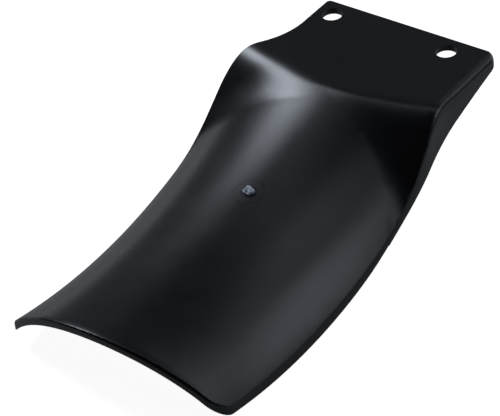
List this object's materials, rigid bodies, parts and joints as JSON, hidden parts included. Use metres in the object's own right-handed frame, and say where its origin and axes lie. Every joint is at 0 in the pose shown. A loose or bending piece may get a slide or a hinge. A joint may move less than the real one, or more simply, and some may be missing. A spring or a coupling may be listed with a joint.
{
  "type": "motorcycle shock mud flap",
  "caption": "Moulded plastic flap with a flat drilled plate, a fold with gusset walls and a long arched apron that keeps mud off a motorcycle's rear shock.",
  "frame": {"origin": "midpoint between the two bolt holes, on the upper face of the mounting plate", "axes": "+X along the line of the two bolt holes, +Y from the flap's free end to the plate's back edge, +Z out of the plate's upper face"},
  "size_m": [0.0976, 0.1943, 0.0456],
  "materials": {
    "black_plastic": "satin"
  },
  "bodies": {
    "root": {"mud_flap": "black_plastic"}
  },
  "joints": []
}
